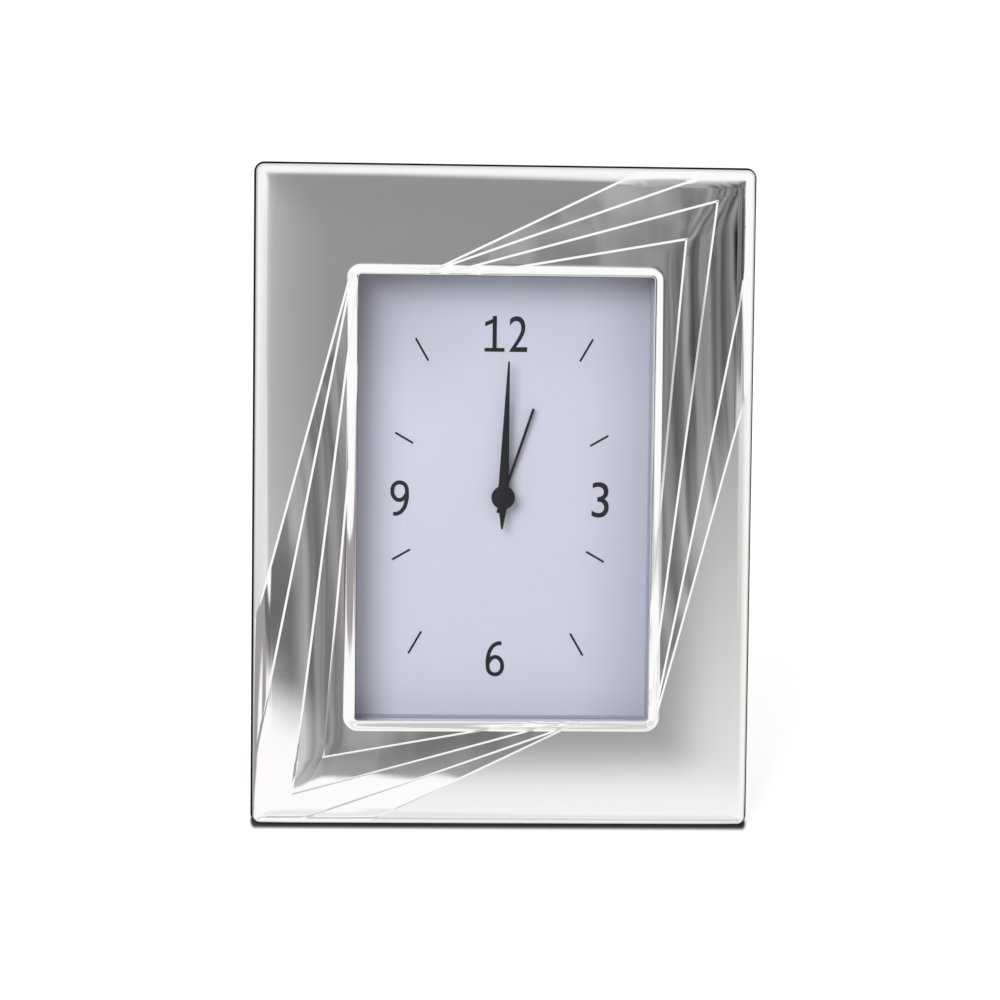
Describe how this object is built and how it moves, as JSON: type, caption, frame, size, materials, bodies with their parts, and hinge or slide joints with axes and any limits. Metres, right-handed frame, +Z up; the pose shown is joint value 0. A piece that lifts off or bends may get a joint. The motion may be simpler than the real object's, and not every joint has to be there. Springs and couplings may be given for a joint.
{
  "type": "photo frame clock",
  "caption": "Table alarm clock in an upright photo frame: stamped silver face with twisted frames about the dial, black wooden back, folding easel leg.",
  "frame": {"origin": "middle of the bounding box's bottom face, on the surface the clock stands on", "axes": "+Z up, +X to the viewer's right, the face looks along -Y and leans back 14 degrees"},
  "size_m": [0.1656, 0.0635, 0.2128],
  "materials": {
    "silver": "satin silver laminate with mirror-polished facets",
    "black_lacquer": "black satin lacquer",
    "glass": "clear, polished",
    "spacer_plastic": "matte pale grey",
    "dial_card": "matte pale lavender grey",
    "dark_wood": "dark walnut stain, satin",
    "nickel": "nickel plate",
    "steel": "plain steel",
    "black_plastic": "fine grained black moulding",
    "white_plastic": "natural acetal",
    "battery_sleeve": "plain dark sleeve",
    "magnet": "dark grey",
    "copper_wire": "enamelled copper winding",
    "board_green": "solder mask",
    "brass": "plain",
    "black_paint": "black satin paint"
  },
  "bodies": {
    "case": {"silver_face": "silver", "wood_frame": "black_lacquer", "glass_pane": "glass", "spacer_frame": "spacer_plastic", "dial_plate": "dial_card", "back_panel": "dark_wood", "turn_button_screws": "nickel", "movement_screws": "nickel", "panel_hinge_screws": "nickel", "panel_hinge_leaf": "nickel", "hinge_pin": "steel", "movement_front_case": "black_plastic", "movement_back_case": "black_plastic", "battery": "battery_sleeve", "contact_plate": "steel", "contact_spring": "steel", "train_bridge": "white_plastic", "stator": "steel", "coil": "copper_wire", "circuit_board": "board_green", "sounder": "brass"},
    "minute": {"cannon_pinion": "brass", "minute_hand": "black_paint"},
    "hour": {"hour_wheel": "white_plastic", "hour_hand": "black_paint"},
    "motion": {"motion_wheel": "white_plastic"},
    "time_setting": {"time_knob": "black_plastic"},
    "alarm": {"alarm_wheel": "white_plastic", "alarm_hand": "black_paint"},
    "alarm_setting": {"alarm_knob": "black_plastic"},
    "rotor": {"rotor": "magnet"},
    "step": {"step_wheel": "white_plastic"},
    "seconds": {"seconds_wheel": "white_plastic"},
    "third": {"third_wheel": "white_plastic"},
    "centre": {"centre_wheel": "white_plastic"},
    "turn_button_1": {"turn_button_1": "nickel"},
    "turn_button_2": {"turn_button_2": "nickel"},
    "turn_button_3": {"turn_button_3": "nickel"},
    "turn_button_4": {"turn_button_4": "nickel"},
    "alarm_switch": {"alarm_switch": "white_plastic"},
    "battery_door": {"battery_door": "black_plastic"},
    "leg": {"easel_leg": "dark_wood", "leg_hinge_leaf": "nickel", "leg_hinge_screws": "nickel"}
  },
  "joints": [
    {"name": "minute_turn", "type": "hinge", "parent": "case", "child": "minute", "pos_m": [0, 0.00541, 0.10542], "axis": [0, 0.9703, -0.2419], "continuous": true},
    {"name": "hour_turn", "type": "hinge", "parent": "case", "child": "hour", "pos_m": [0, 0.00541, 0.10542], "axis": [0, 0.9703, -0.2419], "continuous": true},
    {"name": "motion_turn", "type": "hinge", "parent": "case", "child": "motion", "pos_m": [0.00752, 0.00475, 0.10277], "axis": [0, 0.9703, -0.2419], "continuous": true},
    {"name": "time_knob_turn", "type": "hinge", "parent": "case", "child": "time_setting", "pos_m": [0.01524, 0.00425, 0.10076], "axis": [0, 0.9703, -0.2419], "continuous": true},
    {"name": "alarm_turn", "type": "hinge", "parent": "case", "child": "alarm", "pos_m": [0, 0.00541, 0.10542], "axis": [0, 0.9703, -0.2419], "continuous": true},
    {"name": "alarm_knob_turn", "type": "hinge", "parent": "case", "child": "alarm_setting", "pos_m": [-0.0109, 0.00445, 0.10158], "axis": [0, 0.9703, -0.2419], "continuous": true},
    {"name": "rotor_turn", "type": "hinge", "parent": "case", "child": "rotor", "pos_m": [-0.02133, 0.00604, 0.10795], "axis": [0, 0.9703, -0.2419], "continuous": true},
    {"name": "step_turn", "type": "hinge", "parent": "case", "child": "step", "pos_m": [-0.01343, 0.00674, 0.11074], "axis": [0, 0.9703, -0.2419], "continuous": true},
    {"name": "seconds_turn", "type": "hinge", "parent": "case", "child": "seconds", "pos_m": [-0.01015, 0.00892, 0.11949], "axis": [0, 0.9703, -0.2419], "continuous": true},
    {"name": "third_turn", "type": "hinge", "parent": "case", "child": "third", "pos_m": [0, 0.00802, 0.1159], "axis": [0, 0.9703, -0.2419], "continuous": true},
    {"name": "centre_turn", "type": "hinge", "parent": "case", "child": "centre", "pos_m": [0, 0.00541, 0.10542], "axis": [0, 0.9703, -0.2419], "continuous": true},
    {"name": "turn_button_1_turn", "type": "hinge", "parent": "case", "child": "turn_button_1", "pos_m": [-0.0575, -0.00729, 0.05448], "axis": [0, 0.9703, -0.2419], "continuous": true},
    {"name": "turn_button_2_turn", "type": "hinge", "parent": "case", "child": "turn_button_2", "pos_m": [-0.0575, 0.01811, 0.15637], "axis": [0, 0.9703, -0.2419], "continuous": true},
    {"name": "turn_button_3_turn", "type": "hinge", "parent": "case", "child": "turn_button_3", "pos_m": [0.0575, -0.00729, 0.05448], "axis": [0, 0.9703, -0.2419], "continuous": true},
    {"name": "turn_button_4_turn", "type": "hinge", "parent": "case", "child": "turn_button_4", "pos_m": [0.0575, 0.01811, 0.15637], "axis": [0, 0.9703, -0.2419], "continuous": true},
    {"name": "alarm_switch_slide", "type": "slide", "parent": "case", "child": "alarm_switch", "axis": [1, 0, 0], "range_m": [0, 0.004]},
    {"name": "battery_door_slide", "type": "slide", "parent": "case", "child": "battery_door", "axis": [0, -0.2419, -0.9703], "range_m": [0, 0.016]},
    {"name": "leg_fold", "type": "hinge", "parent": "case", "child": "leg", "pos_m": [0, -0.00194, 0.06603], "axis": [-1, 0, 0], "range_deg": [0, 34]}
  ],
  "couplings": [
    {"joint": "hour_turn", "follows": "minute_turn", "ratio": 0.083333},
    {"joint": "motion_turn", "follows": "minute_turn", "ratio": -0.33333},
    {"joint": "time_knob_turn", "follows": "minute_turn", "ratio": 1},
    {"joint": "alarm_knob_turn", "follows": "alarm_turn", "ratio": -1.2308},
    {"joint": "step_turn", "follows": "rotor_turn", "ratio": -0.16667},
    {"joint": "seconds_turn", "follows": "rotor_turn", "ratio": 0.033333},
    {"joint": "third_turn", "follows": "rotor_turn", "ratio": -0.0041667},
    {"joint": "centre_turn", "follows": "rotor_turn", "ratio": 0.00055556}
  ]
}
